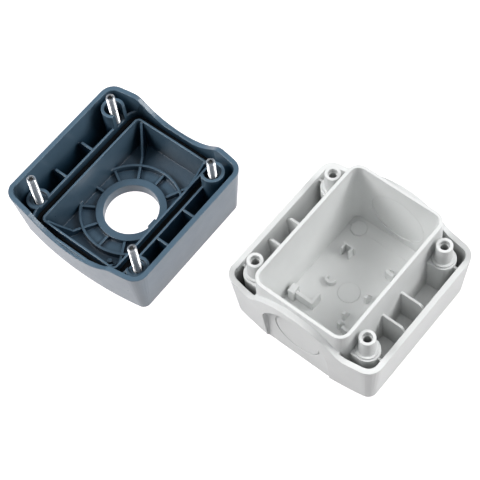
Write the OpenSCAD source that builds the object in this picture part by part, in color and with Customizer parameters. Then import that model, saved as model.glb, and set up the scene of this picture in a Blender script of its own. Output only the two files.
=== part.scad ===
// Empty one-hole station box for a 22 mm pushbutton, shown opened:
// the grey base lies on its back and the cover lies on its front beside it,
// with the sealing ring in the cover's groove and four captive screws.
// Millimetres. Z is up, the origin is the middle of the base's back face,
// X runs across the long sides and Y runs towards the cable entries.

/* [Enclosure] */
// Width over the two straight long sides
case_w = 68; // [64:0.5:76]
// Length over the middle of the two bulged ends
case_l = 69; // [66:0.5:78]
// How far each end bulges out past its corners
end_bulge = 3.6; // [2:0.2:5]
// Corner radius of the outline at the parting line
corner_r = 6; // [4.5:0.5:7]
// Thickness of the base's outer walls
wall_t = 2.2; // [1.8:0.1:2.6]
// Height of the base up to its flat rim
base_h = 26; // [24:0.5:30]
// Depth of the cover from its front to its flat rim
cover_h = 27; // [25:0.5:31]
// Inward lean of the base's walls from the rim to the back
base_draft = 2.15; // [1.5:0.05:2.5]
// Inward lean of the cover's walls from the rim to the front
cover_draft = 2.8; // [2:0.1:3]
// Rounding of the base's outer bottom edge
edge_round = 1.2; // [0.6:0.2:1.6]
// Thickness of the cover's outer walls
cover_wall_t = 2; // [1.8:0.1:2.2]
// Rounding of the cover's front edge
cover_edge_round = 0.6; // [0.4:0.1:1.2]

/* [Arched ends] */
// Rise of the parting line at the middle of each end
arch_h = 9; // [7:0.5:10]
// Radius of the arch
arch_r = 27; // [24:0.5:30]
// Radius that blends the arch into the flat rim
arch_blend_r = 7; // [5:0.5:8]
// Gap left between the two halves along the parting line when closed
parting_gap = 0.1; // [0.05:0.05:0.3]

/* [Wiring chamber] */
// Distance from the case's sides in to the chamber's rim
chamber_side_inset = 13.25; // [13:0.05:13.6]
// Distance from the case's ends in to the chamber's rim
chamber_end_inset = 3.4; // [3.3:0.05:3.7]
// Height of the chamber's rim above the back face
chamber_h = 37.4; // [36.4:0.2:38.4]
// Thickness of the chamber wall at its rim
chamber_wall = 1.3; // [1.2:0.1:1.5]
// How far the chamber's long walls spread outwards down to the pocket floors
chamber_lean = 1.2; // [0.8:0.1:1.4]
// How far the chamber's end walls spread outwards
chamber_end_lean = 0.4; // [0.2:0.1:0.5]
// How far the chamber narrows inside from the rim to its floor
cavity_draft = 0.5; // [0.3:0.1:0.6]
// Outer corner radius of the chamber
chamber_r = 5; // [4:0.5:6]
// Thickness of the chamber floor
chamber_floor = 2.5; // [2:0.25:3.5]

/* [Side pockets] */
// Height of the pocket floors in the base
pocket_floor = 9; // [7:0.5:11]
// Distance from the middle at which the pockets end along the end walls
pocket_end_x = 19; // [17:0.5:20]
// Thickness of the cross ribs
rib_t = 1; // [0.8:0.1:1.4]
// Slope cut from the top of each cross rib where it meets the outer wall
rib_chamfer = 2.2; // [1:0.1:3]
// How far the pair of cross ribs in the base sits off the middle
base_rib_offset = -2.8; // [-4:0.2:4]
// Spacing of the two cross ribs in the base
base_rib_pitch = 11.2; // [8:0.2:16]
// Height of the cross ribs in the base
base_rib_h = 24.4; // [18:0.2:25]
// How far the pair of cross ribs in the cover sits off the middle
cover_rib_offset = -1.15; // [-3:0.05:3]
// Spacing of the two cross ribs in the cover
cover_rib_pitch = 15.3; // [10:0.1:20]
// Height of the cross ribs in the cover
cover_rib_h = 18.8; // [16:0.1:18.8]
// Thickness of the skin left between a pocket and the hollow in the back
back_skin = 2; // [1.6:0.1:2.4]

/* [Screw tubes] */
// Distance from the case's sides in to the screws
screw_side_inset = 8.85; // [8.6:0.05:9.1]
// Distance from the case's ends in to the screws
screw_end_inset = 11.65; // [11:0.05:12.5]
// Height of the tube tops
tube_h = 34.6; // [33.6:0.2:35.4]
// Outer radius of a tube at its top
tube_top_r = 3.1; // [2.9:0.05:3.3]
// Outer radius of a tube at its foot
tube_foot_r = 3.4; // [3.3:0.05:3.6]
// Radius of the threaded bore
tube_bore_r = 1.55; // [1.45:0.05:1.65]
// Radius of the lead-in at the mouth of the bore
tube_mouth_r = 1.95; // [1.9:0.05:2.2]
// Depth of the lead-in
tube_mouth_depth = 2; // [1:0.5:4]
// Height at which the bore ends
tube_bore_floor = 12; // [11.5:0.5:16]
// Radius of the collar round the foot of a tube
collar_r = 4.3; // [4.1:0.1:4.6]
// Radius of the pedestal under the collar
pedestal_r = 4.9; // [4.7:0.1:5.3]
// Height of the step from the pedestal up to the collar's top
collar_h = 1; // [0.6:0.1:1.6]

/* [Cable entries] */
// Depth of each flat gland seat in from the middle of the bulged end
seat_inset = 3.5; // [3.4:0.05:3.7]
// Radius of the flat gland seat
seat_r = 14.5; // [13.5:0.1:15]
// Height of the cable entry's centre above the back face
entry_z = 17.5; // [16.5:0.25:18]
// Diameter of the entry's knockout
knockout_d = 20.5; // [19:0.1:21]
// Width of the groove round the knockout
knockout_groove = 0.6; // [0.4:0.1:1]
// Depth of the groove round the knockout
knockout_depth = 0.35; // [0.2:0.05:0.5]
// Depth of the round thinning on the chamber side of the knockout
thinning_depth = 0.1; // [0.05:0.05:0.2]
// Radius of the round thinning
thinning_r = 12; // [11:0.5:13]

/* [Floor fittings] */
// Height of the clips and posts above the chamber floor
clip_h = 5; // [3:0.5:7]
// Thickness of the clips and posts
clip_t = 1.3; // [1:0.1:1.8]
// Length of the long clip wall
clip_w = 8.6; // [6:0.2:10]
// Width of the thin twin post
twin_post_w = 5.2; // [4:0.2:6]
// Distance of the sloped hooks from the middle of the box
hook_x = 7; // [6:0.2:8]
// Radius of the split round boss
split_boss_r = 2.3; // [2:0.1:2.8]
// Radius of the round gate mark in the middle of the floor
gate_mark_r = 4.3; // [3:0.1:5]
// Radius of the wall-fixing knockouts
fixing_r = 4.4; // [3.5:0.1:5]
// Place of the wall-fixing knockouts across the box
fixing_x = 14.2; // [12:0.2:14.4]
// Place of the wall-fixing knockouts along the box
fixing_y = 24.4; // [22:0.2:24.4]
// Depth of the wall-fixing knockouts in the back
fixing_depth = 1.2; // [0.8:0.1:1.6]

/* [Cover front] */
// Thickness of the cover's front panel
front_t = 2.4; // [2:0.1:2.8]
// Diameter of the pushbutton hole
button_hole_d = 22.3; // [22:0.1:22.6]
// Width of the key that stops the pushbutton turning
key_w = 4.2; // [3:0.2:5]
// How far the key stands into the hole
key_depth = 1; // [0.6:0.1:1.2]
// Outer diameter of the thick ring round the hole
hole_ring_d = 28.4; // [27:0.2:30]
// Height of the thick ring above the front face
hole_ring_h = 4.8; // [3.6:0.1:4.8]
// Radius of the round stiffening rib
round_rib_r = 20.3; // [18:0.1:22]
// Height of the round rib above the front face
panel_rib_h = 5.2; // [5:0.1:6]
// How much lower the short ribs are than the round rib
spoke_drop = 1; // [0.6:0.1:1.4]
// Number of short ribs between the ring and the round rib
panel_rib_count = 12; // [8:4:16]
// Height of the corner gussets above the front face
gusset_h = 18; // [10:0.5:18]
// Direction in which the corner gussets leave the ring, from the X axis
gusset_angle = 60; // [58:0.5:62]
// Height of the small locating pin above the front face
pin_h = 6; // [4:0.5:8]

/* [Cover lip and groove] */
// Clearance between the lip and the long sides of the chamber
lip_side_gap = 0.6; // [0.4:0.05:0.8]
// Clearance between the lip and the ends of the chamber
lip_end_gap = 0.9; // [0.6:0.05:1.1]
// Corner radius of the lip
lip_r = 2.2; // [2.1:0.1:2.8]
// Thickness of the lip
lip_t = 0.8; // [0.7:0.05:1]
// Height of the lip above the front face
lip_h = 18.5; // [18.4:0.1:20]
// Clearance between the chamber's sides and the groove
groove_side_gap = 1.6; // [1:0.1:1.8]
// Clearance between the chamber's ends and the groove
groove_end_gap = 0.3; // [0.2:0.1:0.5]
// Thickness of the wall outside the groove
groove_wall = 0.85; // [0.7:0.05:1.2]
// Height of the wall outside the groove
groove_wall_h = 19; // [18.9:0.05:19.1]

/* [Sealing ring] */
// Thickness of the sealing ring
seal_t = 2.6; // [2:0.1:3]
// How far the closed chamber rim presses into the ring
seal_squeeze = 0.2; // [0.1:0.05:0.4]
// Clearance of the ring to the groove's walls
seal_gap = 0.1; // [0.05:0.05:0.2]
// Width of the channel along the ring's face
seal_channel_w = 1.4; // [1:0.1:2]
// Depth of the channel along the ring's face
seal_channel_depth = 0.5; // [0.3:0.1:0.8]

/* [Cover bosses] */
// Outer radius of the screw bosses
boss_r = 4.75; // [4.7:0.05:5]
// Clearance of the boss sleeve round a tube's foot
sleeve_gap = 0.1; // [0.05:0.05:0.2]
// Height of the bosses at one end, level with the rim
tall_boss_h = 26.6; // [25:0.1:26.6]
// Height of the bosses at the other end
short_boss_h = 19.2; // [18.8:0.1:21]
// Gap between the tube tops and the sleeve floors when closed
sleeve_floor_gap = 0.4; // [0.2:0.1:0.6]
// Depth of the screw-head wells in the front
well_depth = 9; // [8:0.5:10]
// Thickness of the web that holds a screw captive
web_t = 1.6; // [1.2:0.1:2]
// Radius of the hole in that web
web_hole_r = 1.65; // [1.6:0.05:1.7]
// Clearance of the screw head in its well
head_gap = 0.35; // [0.2:0.05:0.5]
// Clearance of the screw thread in its boss
thread_gap = 0.3; // [0.2:0.05:0.5]

/* [Screws] */
// Outer radius of the screw thread
screw_r = 1.8; // [1.75:0.01:1.85]
// Radius of the thinner neck that runs in the web
neck_r = 1.4; // [1.3:0.05:1.5]
// Length of the neck under the head
neck_l = 8; // [7.8:0.1:9]
// Length of the screw under its head
screw_l = 30.4; // [28:0.2:32]
// Radius of the screw head
head_r = 3.4; // [3.2:0.05:3.5]
// Height of the screw head
head_h = 3.4; // [3:0.1:3.8]
// Width of the cross slots in the head
slot_w = 1; // [0.8:0.1:1.2]
// Depth of the cross slots in the head
slot_depth = 1.8; // [1:0.1:2]
// Radius of the cup in the screw tip
cup_r = 0.95; // [0.8:0.05:1.1]
// Depth of the cup in the screw tip
cup_depth = 1; // [0.5:0.1:1.5]
// Chamfer round the screw tip
tip_chamfer = 0.35; // [0.2:0.05:0.5]

/* [Placement of the cover] */
// Gap on the table between the base and the cover
cover_gap = 22; // [12:1:42]
// Where the cover lies along from the base
cover_y = -23.4; // [-40:0.2:0]
// Turn of the cover on the table in degrees
cover_turn = 1; // [-5:0.5:5]

/* [Hidden] */
fine = 64;
outline_fn = 32;
eps = 0.02;
big = 200;
base_colour = "gainsboro";
cover_colour = "darkslategray";
seal_colour = "black";
screw_colour = "silver";

half_w = case_w / 2;
closed_h = base_h + cover_h;
cover_x = -(case_w + cover_gap);

// Outline geometry: straight sides, circular ends and round corners.
end_r = (half_w * half_w + end_bulge * end_bulge) / (2 * end_bulge);
end_cy = case_l / 2 - end_r;
corner_cx = half_w - corner_r;
corner_cy = end_cy + sqrt(pow(end_r - corner_r, 2) - corner_cx * corner_cx);
end_angle = asin(corner_cx / (end_r - corner_r));
corner_steps = 6;
end_steps = 7;

// Arch geometry: one main arc and two blends, all tangent.
arch_steps = 20;
arch_cz = arch_h - arch_r;
blend_x = sqrt(pow(arch_r + arch_blend_r, 2) - pow(arch_blend_r - arch_cz, 2));
tangent_x = blend_x * arch_r / (arch_r + arch_blend_r);

// Chamber, lip and groove as they nest when closed.
chamber_w = case_w - 2 * chamber_side_inset;
chamber_l = case_l - 2 * chamber_end_inset;
cavity_w = chamber_w - 2 * chamber_wall;
cavity_l = chamber_l - 2 * chamber_wall;
cavity_r = chamber_r - chamber_wall;
lip_w = cavity_w - 2 * lip_side_gap;
lip_l = cavity_l - 2 * lip_end_gap;
seat_y = case_l / 2 - seat_inset;
groove_w = chamber_w + 2 * groove_side_gap;
groove_l = chamber_l + 2 * groove_end_gap;
groove_r = chamber_r + groove_end_gap;
groove_floor = closed_h - chamber_h + seal_squeeze - seal_t;

screw_x = half_w - screw_side_inset;
screw_y = case_l / 2 - screw_end_inset;
gusset_far = (lip_l / 2 - lip_t) / sin(gusset_angle) - 0.6;
gusset_near = gusset_far - 3;
sleeve_r = tube_foot_r + sleeve_gap;
sleeve_floor = closed_h - tube_h - sleeve_floor_gap;
pedestal_h = base_h - collar_h;
well_r = head_r + head_gap;
thread_hole_r = screw_r + thread_gap;

screw_places = [
    [-screw_x, screw_y],
    [-screw_x, -screw_y],
    [screw_x, screw_y],
    [screw_x, -screw_y]
];

// One quarter of the outline, moved in by inset, from the side to the end.
function quarter(inset) = concat(
    [for (k = [0:corner_steps])
        let (a = k * (90 - end_angle) / corner_steps)
        [corner_cx + (corner_r - inset) * cos(a), corner_cy + (corner_r - inset) * sin(a)]],
    [for (k = [1:end_steps])
        let (a = 90 - end_angle + k * end_angle / end_steps)
        [(end_r - inset) * cos(a), end_cy + (end_r - inset) * sin(a)]]
);

function flip(points, sx, sy) = [for (p = points) [p[0] * sx, p[1] * sy]];

function turned_round(points) = [for (k = [len(points) - 1:-1:0]) points[k]];

function outline(inset) = let (q = quarter(inset), last = len(q) - 1)
    concat(
        q,
        turned_round(flip([for (k = [0:last - 1]) q[k]], -1, 1)),
        flip([for (k = [1:last]) q[k]], -1, -1),
        turned_round(flip([for (k = [0:last - 1]) q[k]], 1, -1))
    );

// A slice of the outline, thin enough to serve as one station of a hull.
module station(z, inset) {
    translate([0, 0, z])
        linear_extrude(eps)
            polygon(outline(inset));
}

// Outer form of the closed case below its widest line, which lies at height h.
// It leans in by draft towards z = 0 and follows the other half's lean above.
module outer_form(h, draft, other_h, other_draft, rounding) {
    overlap = arch_h + 1;
    hull() {
        station(0, draft + rounding * 0.75);
        station(rounding * 0.3, draft + rounding * 0.25);
        station(rounding, draft * (1 - rounding / h));
        station(h - eps, 0);
        station(h + overlap, other_draft * overlap / other_h);
    }
}

// Inside of the outer walls, leaning with them, from floor_z up past the rim.
module inner_form(h, draft, floor_z, wall) {
    hull() {
        station(floor_z, wall + draft * (1 - floor_z / h));
        station(h + arch_h + 2, wall - draft * (arch_h + 2) / h);
    }
}

// Height of the parting line above the rim at a distance x from the middle.
function arch_rise(x) = abs(x) < tangent_x
    ? arch_cz + sqrt(arch_r * arch_r - x * x)
    : arch_blend_r - sqrt(arch_blend_r * arch_blend_r - pow(blend_x - abs(x), 2));

// Everything on the base's side of the parting line, as a prism along Y.
module below_parting_line(lift) {
    curve = [for (k = [-arch_steps:arch_steps])
        let (x = blend_x * sin(90 * k / arch_steps))
        [x, base_h + lift + arch_rise(x)]];
    rotate([90, 0, 0])
        linear_extrude(big, center = true)
            polygon(concat(
                [[-big / 2, -big], [-big / 2, base_h + lift]],
                curve,
                [[big / 2, base_h + lift], [big / 2, -big]]
            ));
}

module rounded_rect(w, l, r) {
    square([w - 2 * r, l], center = true);
    square([w, l - 2 * r], center = true);
    for (sx = [-1, 1])
        for (sy = [-1, 1])
            translate([sx * (w / 2 - r), sy * (l / 2 - r)])
                circle(r, $fn = outline_fn);
}

module block(w, l, r, z0, z1) {
    translate([0, 0, z0])
        linear_extrude(z1 - z0)
            rounded_rect(w, l, r);
}

// A block whose foot is wider than its top by dx and dy on each side.
module tapered_block(w, l, r, z0, z1, dx, dy) {
    hull() {
        block(w + 2 * dx, l + 2 * dy, r + min(dx, dy), z0, z0 + eps);
        block(w, l, r, z1 - eps, z1);
    }
}

// Base

// Room inside the outer walls, less the solid ledges at the two ends.
module side_pockets() {
    difference() {
        inner_form(base_h, base_draft, pocket_floor, wall_t);
        translate([-pocket_end_x, -big / 2, -1])
            cube([2 * pocket_end_x, big, big]);
    }
}

// Two cross ribs in each side pocket, sloped down where they meet the outer wall.
module pocket_ribs(offset, pitch, inner_x, wall_x, z0, z1) {
    reach = 0.5;
    for (side = [0, 180])
        for (row = [-1, 1])
            translate([0, offset + row * pitch / 2, 0])
                rotate([90, 0, side])
                    linear_extrude(rib_t, center = true)
                        polygon([
                            [inner_x, z0],
                            [wall_x + reach, z0],
                            [wall_x + reach, z1 - rib_chamfer - reach],
                            [wall_x - rib_chamfer, z1],
                            [inner_x, z1]
                        ]);
}

// Pedestal with straight flanks back to the chamber, collar and tapered tube.
module screw_tube(side) {
    web_reach = half_w - wall_t - screw_x + 0.1;
    flank = screw_x - chamber_w / 2 + 1;
    translate([0, 0, pocket_floor - 1]) {
        linear_extrude(pedestal_h - pocket_floor + 1)
            union() {
                circle(pedestal_r, $fn = fine);
                translate([side > 0 ? -flank : 0, -pedestal_r])
                    square([flank, 2 * pedestal_r]);
            }
        translate([side > 0 ? 0 : -web_reach, -rib_t / 2, 0])
            cube([web_reach, rib_t, pedestal_h - pocket_floor]);
    }
    translate([0, 0, pedestal_h - 1])
        cylinder(h = collar_h + 1, r = collar_r, $fn = fine);
    translate([0, 0, base_h - 1])
        cylinder(h = tube_h - base_h + 1, r1 = tube_foot_r, r2 = tube_top_r, $fn = fine);
}

module tube_bore() {
    translate([0, 0, tube_bore_floor])
        cylinder(h = tube_h - tube_bore_floor + 1, r = tube_bore_r, $fn = fine);
    translate([0, 0, tube_h - tube_mouth_depth])
        cylinder(h = tube_mouth_depth + 1, r = tube_mouth_r, $fn = fine);
}

// Flat seat for a cable gland, open at the bottom, with its knockout groove.
module cable_entry() {
    reach = case_l / 2 - seat_y + 2;
    ring_r = knockout_d / 2;
    translate([0, -seat_y, entry_z])
        rotate([90, 0, 0]) {
            linear_extrude(reach)
                union() {
                    circle(seat_r, $fn = fine);
                    translate([-seat_r, -entry_z - 1])
                        square([2 * seat_r, entry_z + 1]);
                }
            translate([0, 0, -knockout_depth])
                difference() {
                    cylinder(h = knockout_depth + 1, r = ring_r, $fn = fine);
                    translate([0, 0, -1])
                        cylinder(h = knockout_depth + 3, r = ring_r - knockout_groove, $fn = fine);
                }
        }
    translate([0, 2 - cavity_l / 2, entry_z])
        rotate([90, 0, 0])
            cylinder(h = 2 + thinning_depth, r = thinning_r, $fn = fine);
}

// Hollow in the back under each side pocket, between the tube feet.
module back_hollows() {
    inner_x = cavity_w / 2 + wall_t;
    outer_x = half_w - base_draft - wall_t;
    reach_y = screw_y - pedestal_r - 1;
    for (side = [-1, 1])
        translate([side > 0 ? inner_x : -outer_x, -reach_y, -1])
            cube([outer_x - inner_x, 2 * reach_y, 1 + pocket_floor - back_skin]);
}

module upright(x, y, w, d, h) {
    translate([x - w / 2, y - d / 2, chamber_floor - eps])
        cube([w, d, h]);
}

// A thin upright web that slopes down to the floor towards +Y.
module sloped_web(x, y, length, h) {
    translate([x + clip_t / 2, y, chamber_floor - eps])
        rotate([0, -90, 0])
            linear_extrude(clip_t)
                polygon([[0, 0], [h, 0], [h, clip_t], [0, length]]);
}

// Clips and posts that hold a contact block on the chamber floor.
module floor_fittings() {
    clip_x = -7.6;
    clip_y = -13.6;
    post_x = -11.2;
    post_y = 14.2;
    thin = 0.8;
    boss_x = -9;
    boss_ri = split_boss_r - 1;
    near_y = 13.4;
    far_y = -10.4;
    upright(clip_x - clip_w / 2, clip_y, clip_w, clip_t, clip_h);
    upright(clip_x, clip_y + 2, clip_t, 4 + clip_t, clip_h);
    upright(clip_x - clip_w, clip_y, 2 * clip_t, 3 * clip_t, clip_h * 1.3);
    upright(post_x, post_y, twin_post_w, thin, clip_h);
    for (side = [-1, 1])
        upright(post_x + side * twin_post_w / 3, post_y - 1.4, thin, 2.8, clip_h);
    difference() {
        translate([boss_x, 0, chamber_floor - eps])
            cylinder(h = clip_h * 0.5, r = split_boss_r, $fn = outline_fn);
        translate([boss_x, 0, chamber_floor])
            cylinder(h = clip_h, r = boss_ri, $fn = outline_fn);
        translate([boss_x - split_boss_r, 0.4, chamber_floor])
            cube([2 * split_boss_r, split_boss_r, clip_h]);
    }
    translate([-0.5, 0, chamber_floor - eps])
        cylinder(h = 0.25, r = gate_mark_r, $fn = fine);
    sloped_web(hook_x, 0, 4, clip_h);
    sloped_web(hook_x, near_y, 4, clip_h);
    upright(hook_x + 1.6, near_y + 0.4, 3, clip_t, clip_h);
    sloped_web(hook_x - 2.4, far_y, 3.6, clip_h);
    sloped_web(hook_x - 1.4, far_y - 4.2, 3.4, clip_h);
    upright(hook_x + 2, far_y - 4, 4, clip_t, clip_h * 0.8);
    for (side = [-1, 1])
        translate([side * fixing_x, -side * fixing_y, chamber_floor - eps])
            cylinder(h = 0.6, r = fixing_r - 1, $fn = 8);
    translate([0, cavity_l / 2 - 2.6, chamber_floor - eps])
        cube([cavity_w + 1, 6.4, 0.4], center = true);
}

module base() {
    color(base_colour) {
        difference() {
            union() {
                difference() {
                    intersection() {
                        outer_form(base_h, base_draft, cover_h, cover_draft, edge_round);
                        below_parting_line(0);
                    }
                    side_pockets();
                }
                tapered_block(
                    chamber_w,
                    chamber_l,
                    chamber_r,
                    pocket_floor - 1,
                    chamber_h,
                    chamber_lean,
                    chamber_end_lean
                );
                pocket_ribs(
                    base_rib_offset,
                    base_rib_pitch,
                    chamber_w / 2 - 0.5,
                    half_w - wall_t - 0.2,
                    pocket_floor - 1,
                    base_rib_h
                );
                for (place = screw_places)
                    translate([place[0], place[1], 0])
                        screw_tube(sign(place[0]));
            }
            tapered_block(
                cavity_w,
                cavity_l,
                cavity_r,
                chamber_floor,
                chamber_h + 1,
                -cavity_draft,
                -cavity_draft
            );
            for (turn = [0, 180])
                rotate([0, 0, turn])
                    cable_entry();
            for (place = screw_places)
                translate([place[0], place[1], 0])
                    tube_bore();
            back_hollows();
            for (side = [-1, 1])
                translate([-side * fixing_x, side * fixing_y, -1])
                    cylinder(h = 1 + fixing_depth, r = fixing_r, $fn = fine);
        }
        floor_fittings();
    }
}

// Cover, in its own frame: front face at z = 0, open side up

module lying_cover() {
    translate([cover_x, cover_y, 0])
        rotate([0, 0, cover_turn])
            children();
}

module screw_boss(h) {
    cylinder(h = h, r = boss_r, $fn = fine);
}

module boss_bore() {
    translate([0, 0, -1])
        cylinder(h = well_depth + 1, r = well_r, $fn = fine);
    translate([0, 0, well_depth - 1])
        cylinder(h = web_t + 2, r = web_hole_r, $fn = fine);
    translate([0, 0, well_depth + web_t])
        cylinder(h = cover_h, r = thread_hole_r, $fn = fine);
    translate([0, 0, sleeve_floor])
        cylinder(h = cover_h, r = sleeve_r, $fn = fine);
}

// Round opening for the pushbutton, less the key on its +X side.
module button_hole() {
    hole_r = button_hole_d / 2;
    translate([0, 0, -1])
        difference() {
            cylinder(h = hole_ring_h + 2, r = hole_r, $fn = fine);
            translate([hole_r - key_depth, -key_w / 2, -1])
                cube([key_depth + 1, key_w, hole_ring_h + 4]);
        }
}

// A corner gusset, low beside the round rib and high where it meets the lip.
module corner_gusset() {
    near = hole_ring_d / 2 - 0.4;
    far = lip_w;
    foot = front_t - 0.5;
    translate([0, rib_t / 2, 0])
        rotate([90, 0, 0])
            linear_extrude(rib_t)
                polygon([
                    [near, foot],
                    [near, panel_rib_h - spoke_drop],
                    [round_rib_r + 4, panel_rib_h],
                    [gusset_near, gusset_h * 0.7],
                    [gusset_far, gusset_h],
                    [far, gusset_h],
                    [far, foot]
                ]);
}

// Ring, round rib, short spokes and the four gussets that run into the corners.
module panel_ribs() {
    ring_r = hole_ring_d / 2;
    foot = front_t - 0.5;
    pin_r = 1;
    pin_x = 8.6;
    pin_y = -22.7;
    intersection() {
        block(lip_w - lip_t, lip_l - lip_t, lip_r - lip_t / 2, 0, lip_h - 0.3);
        union() {
            translate([0, 0, foot])
                difference() {
                    cylinder(h = panel_rib_h - foot, r = round_rib_r + rib_t / 2, $fn = fine);
                    translate([0, 0, -1])
                        cylinder(h = panel_rib_h + 1, r = round_rib_r - rib_t / 2, $fn = fine);
                }
            for (k = [0:panel_rib_count - 1])
                let (a = k * 360 / panel_rib_count)
                    if (abs(abs(cos(a)) - cos(gusset_angle)) > 0.1)
                        rotate([0, 0, a])
                            translate([ring_r - 0.4, -rib_t / 2, foot])
                                cube([
                                    round_rib_r - ring_r + 0.4,
                                    rib_t,
                                    panel_rib_h - foot - spoke_drop
                                ]);
            for (a = [gusset_angle, 180 - gusset_angle, 180 + gusset_angle, -gusset_angle])
                rotate([0, 0, a])
                    corner_gusset();
        }
    }
    translate([0, 0, foot])
        cylinder(h = hole_ring_h - foot, r = ring_r, $fn = fine);
    translate([pin_x, pin_y, foot])
        cylinder(h = pin_h - foot, r = pin_r, $fn = outline_fn);
}

// Outer walls of the cover, cut along the parting line.
module cover_walls() {
    difference() {
        translate([-big / 2, -big / 2, -big / 4])
            cube([big, big, big / 2]);
        inner_form(cover_h, cover_draft, front_t, cover_wall_t);
        translate([0, 0, closed_h])
            mirror([0, 0, 1])
                below_parting_line(parting_gap);
    }
}

module cover() {
    outer_w = groove_w + 2 * groove_wall;
    outer_l = groove_l + 2 * groove_wall;
    inner_w = lip_w - 2 * lip_t;
    inner_l = lip_l - 2 * lip_t;
    color(cover_colour)
        lying_cover()
            difference() {
                union() {
                    difference() {
                        union() {
                            difference() {
                                intersection() {
                                    outer_form(
                                        cover_h,
                                        cover_draft,
                                        base_h,
                                        base_draft,
                                        cover_edge_round
                                    );
                                    union() {
                                        cover_walls();
                                        block(outer_w, outer_l, groove_r + groove_wall, 1, groove_wall_h);
                                        pocket_ribs(
                                            cover_rib_offset,
                                            cover_rib_pitch,
                                            groove_w / 2 + groove_wall / 2,
                                            half_w - cover_wall_t - cover_draft * 0.3,
                                            front_t - 1,
                                            cover_rib_h
                                        );
                                        for (place = screw_places)
                                            translate([place[0], place[1], 1])
                                                screw_boss((place[1] > 0 ? tall_boss_h : short_boss_h) - 1);
                                    }
                                }
                                block(groove_w, groove_l, groove_r, groove_floor, cover_h + big);
                            }
                            block(lip_w, lip_l, lip_r, groove_floor - 2, lip_h);
                        }
                        block(inner_w, inner_l, lip_r - lip_t, front_t, cover_h + 1);
                    }
                    panel_ribs();
                }
                for (place = screw_places)
                    translate([place[0], place[1], 0])
                        boss_bore();
                button_hole();
            }
}

// Sealing ring

module sealing_ring() {
    outer_w = groove_w - 2 * seal_gap;
    outer_l = groove_l - 2 * seal_gap;
    inner_w = lip_w + 2 * seal_gap;
    inner_l = lip_l + 2 * seal_gap;
    middle_w = (chamber_w + cavity_w) / 2;
    middle_l = (chamber_l + cavity_l) / 2;
    middle_r = (chamber_r + cavity_r) / 2;
    color(seal_colour)
        lying_cover()
            translate([0, 0, groove_floor])
                difference() {
                    block(outer_w, outer_l, groove_r - seal_gap, 0, seal_t);
                    block(inner_w, inner_l, lip_r + seal_gap, -1, seal_t + 1);
                    difference() {
                        block(
                            middle_w + seal_channel_w,
                            middle_l + seal_channel_w,
                            middle_r + seal_channel_w / 2,
                            seal_t - seal_channel_depth,
                            seal_t + 1
                        );
                        block(
                            middle_w - seal_channel_w,
                            middle_l - seal_channel_w,
                            middle_r - seal_channel_w / 2,
                            0,
                            seal_t + 2
                        );
                    }
                }
}

// Captive screws, standing on their heads on the table

module screw(index) {
    place = screw_places[index];
    tip_z = head_h + screw_l;
    neck_top = head_h + neck_l;
    color(screw_colour)
        lying_cover()
            translate([place[0], place[1], 0])
                difference() {
                    union() {
                        cylinder(h = head_h, r = head_r, $fn = fine);
                        translate([0, 0, head_h - eps])
                            cylinder(h = neck_l + 2 * eps, r = neck_r, $fn = fine);
                        translate([0, 0, neck_top])
                            cylinder(h = tip_z - tip_chamfer - neck_top, r = screw_r, $fn = fine);
                        translate([0, 0, tip_z - tip_chamfer])
                            cylinder(
                                h = tip_chamfer,
                                r1 = screw_r,
                                r2 = screw_r - tip_chamfer,
                                $fn = fine
                            );
                    }
                    translate([0, 0, tip_z - cup_depth])
                        cylinder(h = cup_depth + 1, r = cup_r, $fn = fine);
                    for (turn = [0, 90])
                        rotate([0, 0, turn])
                            translate([-head_r * 0.65, -slot_w / 2, -1])
                                cube([head_r * 1.3, slot_w, slot_depth + 1]);
                }
}

module screw_1() {
    screw(0);
}

module screw_2() {
    screw(1);
}

module screw_3() {
    screw(2);
}

module screw_4() {
    screw(3);
}

base();
cover();
sealing_ring();
screw_1();
screw_2();
screw_3();
screw_4();
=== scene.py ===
import math

import bmesh
import bpy
from mathutils import Matrix, Vector


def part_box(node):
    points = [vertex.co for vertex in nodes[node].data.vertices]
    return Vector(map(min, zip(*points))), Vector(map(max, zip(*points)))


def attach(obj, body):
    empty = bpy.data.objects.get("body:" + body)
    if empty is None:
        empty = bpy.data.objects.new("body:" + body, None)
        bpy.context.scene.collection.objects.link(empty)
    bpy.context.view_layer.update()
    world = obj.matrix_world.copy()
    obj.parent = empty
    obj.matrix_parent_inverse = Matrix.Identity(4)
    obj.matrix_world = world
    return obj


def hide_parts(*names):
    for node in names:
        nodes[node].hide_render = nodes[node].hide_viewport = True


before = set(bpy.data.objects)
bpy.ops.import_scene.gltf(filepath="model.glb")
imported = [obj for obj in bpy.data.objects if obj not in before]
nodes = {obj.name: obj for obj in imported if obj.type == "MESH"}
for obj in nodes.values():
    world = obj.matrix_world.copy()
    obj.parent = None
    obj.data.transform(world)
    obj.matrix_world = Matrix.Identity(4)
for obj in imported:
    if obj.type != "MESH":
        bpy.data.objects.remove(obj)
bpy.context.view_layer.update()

# The camera
# A long lens looks steeply down on the opened box from in front and to the right.
# Its place and tilt were worked out from edges of both halves.
CAMERA_PLACE = (0.14980, -0.19281, 0.48219)
CAMERA_RIGHT = (0.77034, 0.63349, -0.07256)
CAMERA_UP = (-0.52706, 0.69667, 0.48668)
CAMERA_BACK = (0.35886, -0.33666, 0.87056)
camera_data = bpy.data.cameras.new("camera")
camera_data.lens = 106.52
camera_data.sensor_width = 36.0
camera_data.clip_start = 0.01
camera = bpy.data.objects.new("camera", camera_data)
bpy.context.scene.collection.objects.link(camera)
camera.matrix_world = Matrix.Translation(CAMERA_PLACE) @ Matrix(
    (CAMERA_RIGHT, CAMERA_UP, CAMERA_BACK)
).transposed().to_4x4()
bpy.context.scene.camera = camera


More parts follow.
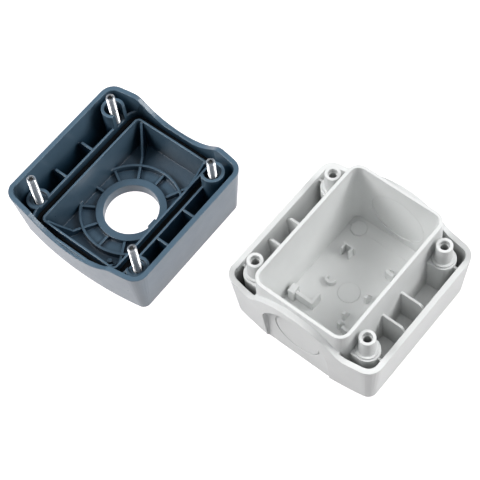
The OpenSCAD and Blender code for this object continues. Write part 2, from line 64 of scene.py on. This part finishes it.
# The table
# A plain white sheet that the two halves lie on. It is lit like the rest, and
# what the camera sees of it is lifted to white, so only the shadows stay grey.
class Wire:
    """One value on its way through a finish; arithmetic on it adds Math nodes."""

    def __init__(self, finish, socket):
        self.finish = finish
        self.socket = socket

    def math(self, operation, *values, clamp=False):
        return self.finish.node(
            "ShaderNodeMath",
            {"operation": operation, "use_clamp": clamp},
            dict(enumerate(values)),
        )

    def __add__(self, other):
        return self.math("ADD", self, other)

    def __radd__(self, other):
        return self.math("ADD", other, self)

    def __sub__(self, other):
        return self.math("SUBTRACT", self, other)

    def __mul__(self, other):
        return self.math("MULTIPLY", self, other)

    def __rmul__(self, other):
        return self.math("MULTIPLY", other, self)

    def held(self):
        """The same value kept between 0 and 1."""
        return self.math("ADD", self, 0.0, clamp=True)

    def ramp(self, start, stop):
        """0 at start and 1 at stop, eased at both ends."""
        return self.finish.node(
            "ShaderNodeMapRange",
            {"interpolation_type": "SMOOTHSTEP"},
            {"Value": self, "From Min": start, "From Max": stop},
        )


class Finish:
    """A material, or the room round it, with one method that makes every node."""

    def __init__(self, name, kind="materials"):
        self.whole = getattr(bpy.data, kind).new(name)
        self.whole.use_nodes = True
        self.tree = self.whole.node_tree
        self.tree.nodes.clear()

    def node(self, kind, settings=None, sockets=None, out=0):
        made = self.tree.nodes.new(kind)
        for name, value in (settings or {}).items():
            setattr(made, name, value)
        for name, value in (sockets or {}).items():
            if isinstance(value, Wire):
                self.tree.links.new(value.socket, made.inputs[name])
            else:
                made.inputs[name].default_value = value
        return Wire(self, made.outputs[out]) if made.outputs else None

    def mixed(self, amount, first, second):
        """Two colours mixed; 6, 7 and 2 are the node's colour sockets."""
        return self.node(
            "ShaderNodeMix",
            {"data_type": "RGBA"},
            {0: amount, 6: first, 7: second},
            out=2,
        )

    def noise(self, where, scale, detail=2.0, rough=0.5, stretch=None):
        """Cloudy values between 0 and 1, with scale as clouds to the metre."""
        if stretch:
            where = self.node(
                "ShaderNodeVectorMath",
                {"operation": "MULTIPLY"},
                {0: where, 1: stretch},
            )
        return self.node(
            "ShaderNodeTexNoise",
            None,
            {"Vector": where, "Scale": scale, "Detail": detail, "Roughness": rough},
        )

    def ray(self, *kinds):
        """1 for a ray of any of these kinds, else 0."""
        paths = [
            self.node("ShaderNodeLightPath", out=f"Is {kind} Ray") for kind in kinds
        ]
        total = paths[0]
        for path in paths[1:]:
            total = total + path
        return total.held()

    def shows(self, surface, output="ShaderNodeOutputMaterial"):
        self.node(output, None, {"Surface": surface})
        return self.whole


TABLE_WHITE = (0.44, 0.44, 0.445, 1.0)
TABLE_CLOUD = (0.42, 0.42, 0.425, 1.0)
TABLE_CLOUDS = 60.0
LIFT_COLOUR = (1.0, 0.96, 0.97, 1.0)
LIFT_STRENGTH = 1.04
TABLE_HALF = 3.0
TABLE_BELOW = 0.0002

table_finish = Finish("white table")
seen = table_finish.ray("Camera", "Glossy", "Transmission")
grain = table_finish.noise(
    table_finish.node("ShaderNodeTexCoord", out="Object"), TABLE_CLOUDS, detail=3.0
)
paper = table_finish.node(
    "ShaderNodeBsdfDiffuse",
    None,
    {"Color": table_finish.mixed(grain.ramp(0.2, 0.8), TABLE_WHITE, TABLE_CLOUD)},
)
lift = table_finish.node(
    "ShaderNodeEmission", None, {"Color": LIFT_COLOUR, "Strength": LIFT_STRENGTH}
)
lifted = table_finish.node("ShaderNodeAddShader", None, {0: paper, 1: lift})
table_material = table_finish.shows(
    table_finish.node("ShaderNodeMixShader", None, {0: seen, 1: paper, 2: lifted})
)
table_mesh = bpy.data.meshes.new("table")
table_mesh.from_pydata(
    [
        (-TABLE_HALF, -TABLE_HALF, 0.0),
        (TABLE_HALF, -TABLE_HALF, 0.0),
        (TABLE_HALF, TABLE_HALF, 0.0),
        (-TABLE_HALF, TABLE_HALF, 0.0),
    ],
    [],
    [(0, 1, 2, 3)],
)
table_mesh.materials.append(table_material)
table = bpy.data.objects.new("table", table_mesh)
table.location.z = -TABLE_BELOW
bpy.context.scene.collection.objects.link(table)

# The light
# Two soft boxes stand to the right and left of the camera in a pale room, so the
# faces turned to either side are bright and the corners between them are darker.
# Each is a name, a place, a width and a power in watts; all look at one point.
SOFT_BOXES = (
    ("right light", (0.689, 0.563, 0.803), 0.6, 10.7),
    ("left light", (-0.689, -0.563, 0.803), 0.6, 10.8),
    ("top light", (-0.02, 0.0, 1.5), 0.5, 2.3),
)
LOOKED_AT = Vector((-0.03, -0.01, 0.01))
for name, place, width, power in SOFT_BOXES:
    lamp = bpy.data.lights.new(name, "AREA")
    lamp.shape = "SQUARE"
    lamp.size = width
    lamp.energy = power
    holder = bpy.data.objects.new(name, lamp)
    holder.location = place
    direction = LOOKED_AT - Vector(place)
    holder.rotation_euler = direction.to_track_quat("-Z", "Y").to_euler()
    bpy.context.scene.collection.objects.link(holder)

ROOM_LIGHT = 0.17
ROOM_WHITE = (1.0, 1.0, 1.0, 1.0)
ROOM_HORIZON = (0.62, 0.8, 1.0, 1.0)
ROOM_CEILING = (0.19, 0.23, 0.28, 1.0)
room = Finish("pale room", "worlds")
upwards = room.node(
    "ShaderNodeSeparateXYZ",
    None,
    {"Vector": room.node("ShaderNodeTexCoord", out="Generated")},
    out="Z",
)
mirrored = room.node(
    "ShaderNodeBackground",
    None,
    {"Color": room.mixed(upwards.ramp(0.15, 0.7), ROOM_HORIZON, ROOM_CEILING)},
)
backdrop = room.node("ShaderNodeBackground", None, {"Color": ROOM_WHITE})
glow = room.node(
    "ShaderNodeBackground", None, {"Color": ROOM_WHITE, "Strength": ROOM_LIGHT}
)
reflected = room.node(
    "ShaderNodeMixShader",
    None,
    {0: room.ray("Glossy", "Transmission"), 1: glow, 2: mirrored},
)
bpy.context.scene.world = room.shows(
    room.node(
        "ShaderNodeMixShader", None, {0: room.ray("Camera"), 1: reflected, 2: backdrop}
    ),
    "ShaderNodeOutputWorld",
)


# The base
# The wall half of the box: one moulding in pale grey polycarbonate, with the
# wiring chamber, four screw tubes and side pockets. Its edges are softly broken.
def moulded(
    name,
    colour,
    deeper,
    roughness,
    sheen_shift,
    edge,
    grain_depth,
    painted_shade,
    shut,
    clear,
    reach,
):
    """Satin moulded plastic with fine spark texture and soft, rounded edges.

    Shade is painted into the colour of deep pockets, darker than the lamps leave
    them. What counts is the share of a point's surroundings, out to reach, that
    is open: below shut it takes the painted shade colour, above clear its own
    colour, and a blend between.
    """
    finish = Finish(name)
    where = finish.node("ShaderNodeTexCoord", out="Object")
    flow = finish.noise(where, 38.0, detail=3.0, rough=0.55, stretch=(1.0, 0.45, 1.0))
    cloud = finish.noise(where, 160.0, detail=2.0)
    fine = finish.noise(where, 2600.0, detail=2.0, rough=0.6)
    pits = finish.noise(where, 900.0, detail=1.0)
    shade = (flow * 0.65 + cloud * 0.35).ramp(0.3, 0.72)
    paint = finish.mixed(shade, colour, deeper)
    # Painted shade: an occlusion node darkens the colour where little of the
    # surroundings is open.
    painted_shade_openness = finish.node(
        "ShaderNodeAmbientOcclusion",
        {"samples": 8, "only_local": True},
        {"Distance": reach},
        out="AO",
    )
    paint = finish.mixed(painted_shade_openness.ramp(shut, clear), painted_shade, paint)
    wear = finish.noise(where, 420.0, detail=3.0)
    gloss = roughness + sheen_shift * (cloud - 0.5) + 0.06 * (wear - 0.5)
    height = fine * 0.7 + pits * 0.3
    soft = finish.node("ShaderNodeBevel", {"samples": 6}, {"Radius": edge})
    bump = finish.node(
        "ShaderNodeBump",
        None,
        {"Strength": 0.35, "Distance": grain_depth, "Height": height, "Normal": soft},
    )
    return finish.shows(
        finish.node(
            "ShaderNodeBsdfPrincipled",
            None,
            {
                "Base Color": paint,
                "Roughness": gloss.held(),
                "Normal": bump,
                "IOR": 1.585,
            },
        )
    )


base_material = moulded(
    "pale grey polycarbonate",
    colour=(0.77, 0.78, 0.775, 1.0),
    deeper=(0.745, 0.755, 0.75, 1.0),
    roughness=0.5,
    sheen_shift=0.05,
    edge=0.0004,
    grain_depth=0.00004,
    # Painted shade: the darker grey that the base's deep pockets take, a little below
    # its own colour.
    painted_shade=(0.52, 0.53, 0.525, 1.0),
    shut=0.08,
    clear=0.4,
    reach=0.01,
)
for slot in nodes["base"].material_slots:
    slot.material = base_material

# The cover
# The front half, in dark blue-grey polycarbonate, lying on its front face. The
# lip, groove walls and ribs are part of the same moulding.
cover_material = moulded(
    "blue grey polycarbonate",
    colour=(0.084, 0.142, 0.198, 1.0),
    deeper=(0.074, 0.126, 0.176, 1.0),
    roughness=0.3,
    sheen_shift=0.07,
    edge=0.0005,
    grain_depth=0.00003,
    # Painted shade: the near-black that the cover's deep pockets take, much darker than
    # its own colour.
    painted_shade=(0.012, 0.034, 0.06, 1.0),
    shut=0.2,
    clear=0.66,
    reach=0.03,
)
for slot in nodes["cover"].material_slots:
    slot.material = cover_material

# The sealing ring
# A soft black rubber ring pushed into the cover's groove, with a channel along
# its face that the chamber's rim closes on.
RUBBER_BLACK = (0.003, 0.0035, 0.0045, 1.0)
RUBBER_BLOOM = (0.006, 0.0065, 0.0075, 1.0)
rubber_finish = Finish("black seal rubber")
rubber_place = rubber_finish.node("ShaderNodeTexCoord", out="Object")
bloom = rubber_finish.noise(rubber_place, 300.0, detail=4.0)
skin = rubber_finish.noise(rubber_place, 3000.0, detail=2.0)
rubber_material = rubber_finish.shows(
    rubber_finish.node(
        "ShaderNodeBsdfPrincipled",
        None,
        {
            "Base Color": rubber_finish.mixed(
                bloom.ramp(0.35, 0.75), RUBBER_BLACK, RUBBER_BLOOM
            ),
            "Roughness": (0.7 + 0.12 * (bloom - 0.5)).held(),
            "IOR": 1.25,
            "Normal": rubber_finish.node(
                "ShaderNodeBump",
                None,
                {"Strength": 0.3, "Distance": 0.00003, "Height": skin},
            ),
        },
    )
)
for slot in nodes["sealing_ring"].material_slots:
    slot.material = rubber_material

# The captive screws
# Four zinc-plated steel screws with cross heads and a rolled thread, held in the
# cover's webs by a thinner neck; with the cover on its front they stand on their
# heads on the table.
SCREW_SIDES = 32
HEAD_RADIUS = 0.0034
HEAD_TOP = 0.0034
HEAD_ROUND = 0.0003
NECK_RADIUS = 0.0014
THREAD_START = 0.0114
THREAD_ROOT = 0.00147
THREAD_CREST = 0.0018
THREAD_PITCH = 0.0006
THREAD_PROFILE = (
    (0.0, THREAD_ROOT),
    (0.1, THREAD_ROOT),
    (0.5, THREAD_CREST),
    (0.66, THREAD_CREST),
)
TIP = 0.0338
TIP_RADIUS = 0.00145
CUP_RADIUS = 0.00095
CUP_FLOOR_RADIUS = 0.00057
CUP_DEPTH = 0.0026
RECESS_REACH = 0.0022
RECESS_HALF = 0.0005
RECESS_TAPER = 0.8
RECESS_DEPTH = 0.0018
RECESS_BELOW = 0.001
WELD = 0.000004
SHARP_ABOVE = math.radians(34)


def ring_of(form, radius, height):
    """One level ring of points round the screw's axis."""
    return [
        form.verts.new(
            (
                radius * math.cos(2 * math.pi * side / SCREW_SIDES),
                radius * math.sin(2 * math.pi * side / SCREW_SIDES),
                height,
            )
        )
        for side in range(SCREW_SIDES)
    ]


def skin_rings(form, rings):
    """Faces between each ring and the next one up."""
    for lower, upper in zip(rings, rings[1:]):
        for side in range(SCREW_SIDES):
            after = (side + 1) % SCREW_SIDES
            form.faces.new((lower[side], lower[after], upper[after], upper[side]))


def cap(form, ring, height, facing_up):
    """A fan of faces that closes a ring."""
    centre = form.verts.new((0.0, 0.0, height))
    for side in range(SCREW_SIDES):
        pair = (ring[side], ring[(side + 1) % SCREW_SIDES])
        form.faces.new((*pair, centre) if facing_up else (*reversed(pair), centre))


def thread_radius(radius, height):
    """The thread's own radius, run out to the neck below and the tip above."""
    return min(
        radius,
        NECK_RADIUS + (height - THREAD_START),
        TIP_RADIUS + (TIP - height),
    )


def roll_thread(form):
    """Rows of points that climb one pitch a turn; past the ends they lie level."""
    turns = range(-1, math.ceil((TIP - THREAD_START) / THREAD_PITCH) + 1)
    rows = []
    for turn in turns:
        for share, radius in THREAD_PROFILE:
            row = []
            for side in range(SCREW_SIDES):
                climb = (turn + share + side / SCREW_SIDES) * THREAD_PITCH
                height = min(max(THREAD_START + climb, THREAD_START), TIP)
                reach = thread_radius(radius, height)
                angle = 2 * math.pi * side / SCREW_SIDES
                row.append(
                    form.verts.new(
                        (reach * math.cos(angle), reach * math.sin(angle), height)
                    )
                )
            rows.append(row)
    step = len(THREAD_PROFILE)
    for index, (lower, upper) in enumerate(zip(rows, rows[1:])):
        for side in range(SCREW_SIDES - 1):
            form.faces.new((lower[side], lower[side + 1], upper[side + 1], upper[side]))
        if index + 1 + step < len(rows):
            form.faces.new(
                (
                    lower[-1],
                    rows[index + step][0],
                    rows[index + 1 + step][0],
                    upper[-1],
                )
            )


def screw_mesh():
    """The whole screw on its head, before the cross is cut."""
    form = bmesh.new()
    below = [
        ring_of(form, HEAD_RADIUS - HEAD_ROUND, 0.0),
        ring_of(form, HEAD_RADIUS, HEAD_ROUND),
        ring_of(form, HEAD_RADIUS, HEAD_TOP - HEAD_ROUND),
        ring_of(form, HEAD_RADIUS - HEAD_ROUND, HEAD_TOP),
        ring_of(form, NECK_RADIUS, HEAD_TOP),
        ring_of(form, NECK_RADIUS, THREAD_START),
    ]
    skin_rings(form, below)
    cap(form, below[0], 0.0, facing_up=False)
    roll_thread(form)
    cup = [
        ring_of(form, TIP_RADIUS, TIP),
        ring_of(form, CUP_RADIUS, TIP),
        ring_of(form, CUP_FLOOR_RADIUS, TIP - CUP_DEPTH),
    ]
    skin_rings(form, cup)
    cap(form, cup[-1], TIP - CUP_DEPTH, facing_up=True)
    bmesh.ops.remove_doubles(form, verts=form.verts, dist=WELD)
    bmesh.ops.dissolve_degenerate(form, edges=form.edges, dist=WELD)
    bmesh.ops.recalc_face_normals(form, faces=form.faces)
    mesh = bpy.data.meshes.new("captive screw")
    form.to_mesh(mesh)
    form.free()
    return mesh


def recess_mesh():
    """The cross that the screwdriver goes into, as a solid to cut away."""
    far, near = RECESS_REACH, RECESS_HALF
    corner = [(far, -near), (far, near), (near, near)]
    outline = []
    for turn in range(4):
        for x, y in corner:
            for _ in range(turn):
                x, y = -y, x
            outline.append((x, y))
    form = bmesh.new()
    low = [form.verts.new((x, y, -RECESS_BELOW)) for x, y in outline]
    high = [
        form.verts.new((x * RECESS_TAPER, y * RECESS_TAPER, RECESS_DEPTH))
        for x, y in outline
    ]
    form.faces.new(list(reversed(low)))
    form.faces.new(high)
    for index in range(len(outline)):
        after = (index + 1) % len(outline)
        form.faces.new((low[index], low[after], high[after], high[index]))
    mesh = bpy.data.meshes.new("cross recess")
    form.to_mesh(mesh)
    form.free()
    return mesh


whole_screw = bpy.data.objects.new("whole screw", screw_mesh())
recess = bpy.data.objects.new("recess", recess_mesh())
for helper in (whole_screw, recess):
    bpy.context.scene.collection.objects.link(helper)
cut = whole_screw.modifiers.new("recess", "BOOLEAN")
cut.operation = "DIFFERENCE"
cut.solver = "EXACT"
cut.object = recess
finished_screw = bpy.data.meshes.new_from_object(
    whole_screw.evaluated_get(bpy.context.evaluated_depsgraph_get())
)
finished_screw.name = "captive screw finished"
for helper in (whole_screw, recess):
    bpy.data.objects.remove(helper)
finished_screw.set_sharp_from_angle(angle=SHARP_ABOVE)

ZINC_BRIGHT = (0.58, 0.57, 0.565, 1.0)
ZINC_DULL = (0.5, 0.495, 0.49, 1.0)
STEEL_EDGE = 0.0002
steel_finish = Finish("bright zinc plate")
steel_place = steel_finish.node("ShaderNodeTexCoord", out="Object")
drawn = steel_finish.noise(
    steel_place, 900.0, detail=3.0, rough=0.6, stretch=(1.0, 1.0, 0.12)
)
haze = steel_finish.noise(steel_place, 500.0, detail=3.0)
steel_soft = steel_finish.node(
    "ShaderNodeBevel", {"samples": 4}, {"Radius": STEEL_EDGE}
)
steel_material = steel_finish.shows(
    steel_finish.node(
        "ShaderNodeBsdfPrincipled",
        None,
        {
            "Base Color": steel_finish.mixed(
                haze.ramp(0.3, 0.75), ZINC_BRIGHT, ZINC_DULL
            ),
            "Metallic": 1.0,
            "Roughness": (0.3 + 0.12 * (haze - 0.5) + 0.08 * (drawn - 0.5)).held(),
            "Normal": steel_finish.node(
                "ShaderNodeBump",
                None,
                {
                    "Strength": 0.3,
                    "Distance": 0.00003,
                    "Height": drawn,
                    "Normal": steel_soft,
                },
            ),
        },
    )
)
finished_screw.materials.clear()
finished_screw.materials.append(steel_material)
# Each screw has stopped at a turn of its own, in radians.
for number, spin in ((1, 0.4), (2, 1.9), (3, 3.1), (4, 5.2)):
    low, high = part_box(f"screw_{number}")
    standing = bpy.data.objects.new(f"threaded_screw_{number}", finished_screw)
    standing.location = ((low[0] + high[0]) / 2, (low[1] + high[1]) / 2, low[2])
    standing.rotation_euler.z = spin
    bpy.context.scene.collection.objects.link(standing)
    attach(standing, f"captive_screw_{number}")
    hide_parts(f"screw_{number}")

# The whole view
# The plain view settings that the finishes were matched in.
bpy.context.scene.view_settings.view_transform = "Standard"
